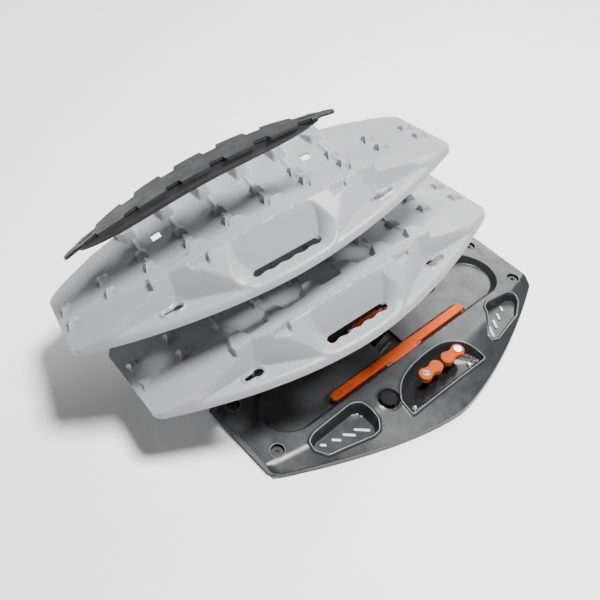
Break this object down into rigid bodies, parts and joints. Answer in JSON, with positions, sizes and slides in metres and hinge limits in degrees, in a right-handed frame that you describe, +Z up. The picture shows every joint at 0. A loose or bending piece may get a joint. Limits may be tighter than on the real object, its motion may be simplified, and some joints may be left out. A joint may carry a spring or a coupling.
{
  "type": "tire traction mats",
  "caption": "Pair of nesting vehicle recovery boards with grip slots and toothed lane, slim top plate, and a locking carrier base, shown lifted apart.",
  "frame": {"origin": "on the ground under the middle of the carrier base, at the underside of its backing plate", "axes": "+Z up; +X along the length of the base toward its right end; +Y across the base toward the side away from the lock knobs"},
  "size_m": [0.9036, 0.5997, 0.4853],
  "materials": {
    "board_plastic": "light cool grey moulded plastic, fine satin texture",
    "tray_plastic": "dark grey moulded plastic with a satin sheen",
    "black_plastic": "black plastic",
    "gloss_black": "glossy black plastic",
    "orange_plastic": "orange moulded plastic, semi-gloss",
    "chrome": "bright plated metal",
    "plate_plastic": "mid grey moulded plastic",
    "rubber": "black rubber"
  },
  "bodies": {
    "base": {"backing_plate": "black_plastic", "base_tray": "tray_plastic", "lock_panel": "gloss_black", "panel_screw_left": "chrome", "panel_screw_right": "chrome", "corner_washer_near_left": "rubber", "corner_bolt_near_left": "black_plastic", "corner_washer_near_right": "rubber", "corner_bolt_near_right": "black_plastic", "corner_washer_far_left": "rubber", "corner_bolt_far_left": "black_plastic", "corner_washer_far_right": "rubber", "corner_bolt_far_right": "black_plastic", "port_neck": "black_plastic", "port_seal": "rubber", "hinge_pin_near": "chrome", "hinge_pin_far": "chrome"},
    "knob_left": {"knob_post_left": "black_plastic", "knob_left": "orange_plastic"},
    "knob_right": {"knob_post_right": "black_plastic", "knob_right": "orange_plastic"},
    "lock_left": {"lock_cylinder_left": "chrome"},
    "lock_right": {"lock_cylinder_right": "chrome"},
    "cap": {"port_cap": "gloss_black"},
    "bar_near": {"latch_bar_near": "orange_plastic"},
    "bar_far": {"latch_bar_far": "orange_plastic"},
    "lower_board": {"board_lower": "board_plastic"},
    "upper_board": {"board_upper": "board_plastic"},
    "plate": {"top_plate": "plate_plastic", "top_plate_belly": "black_plastic"}
  },
  "joints": [
    {"name": "lower_board_fan", "type": "hinge", "parent": "base", "child": "lower_board", "pos_m": [0.0292, 0.4156, -0.425], "axis": [-0.7345, -0.5146, -0.4423], "range_deg": [-15, 3]},
    {"name": "upper_board_fan", "type": "hinge", "parent": "lower_board", "child": "upper_board", "pos_m": [-0.0048, 0.3751, -0.0498], "axis": [-0.7524, -0.3235, -0.5738], "range_deg": [-12.7, 3]},
    {"name": "plate_fan", "type": "hinge", "parent": "upper_board", "child": "plate", "pos_m": [-0.3813, 0.7972, 0.1795], "axis": [-0.6965, -0.3939, -0.5998], "range_deg": [-9, 3]},
    {"name": "knob_turn_left", "type": "hinge", "parent": "base", "child": "knob_left", "pos_m": [-0.004, -0.12, 0.04], "axis": [0, 0, 1], "range_deg": [0, 90]},
    {"name": "key_turn_left", "type": "hinge", "parent": "knob_left", "child": "lock_left", "pos_m": [-0.0185, -0.12, 0.045], "axis": [0, 0, 1], "range_deg": [0, 90]},
    {"name": "knob_turn_right", "type": "hinge", "parent": "base", "child": "knob_right", "pos_m": [0.057, -0.12, 0.04], "axis": [0, 0, 1], "range_deg": [0, 90]},
    {"name": "key_turn_right", "type": "hinge", "parent": "knob_right", "child": "lock_right", "pos_m": [0.0715, -0.12, 0.045], "axis": [0, 0, 1], "range_deg": [0, 90]},
    {"name": "port_cap_turn", "type": "hinge", "parent": "base", "child": "cap", "pos_m": [-0.104, -0.11, 0.025], "axis": [0, 0, 1], "continuous": true},
    {"name": "bar_flip_near", "type": "hinge", "parent": "base", "child": "bar_near", "pos_m": [0, -0.0535, 0.0215], "axis": [1, 0, 0], "range_deg": [0, 45]},
    {"name": "bar_flip_far", "type": "hinge", "parent": "base", "child": "bar_far", "pos_m": [0, 0.0535, 0.0215], "axis": [-1, 0, 0], "range_deg": [0, 45]}
  ]
}
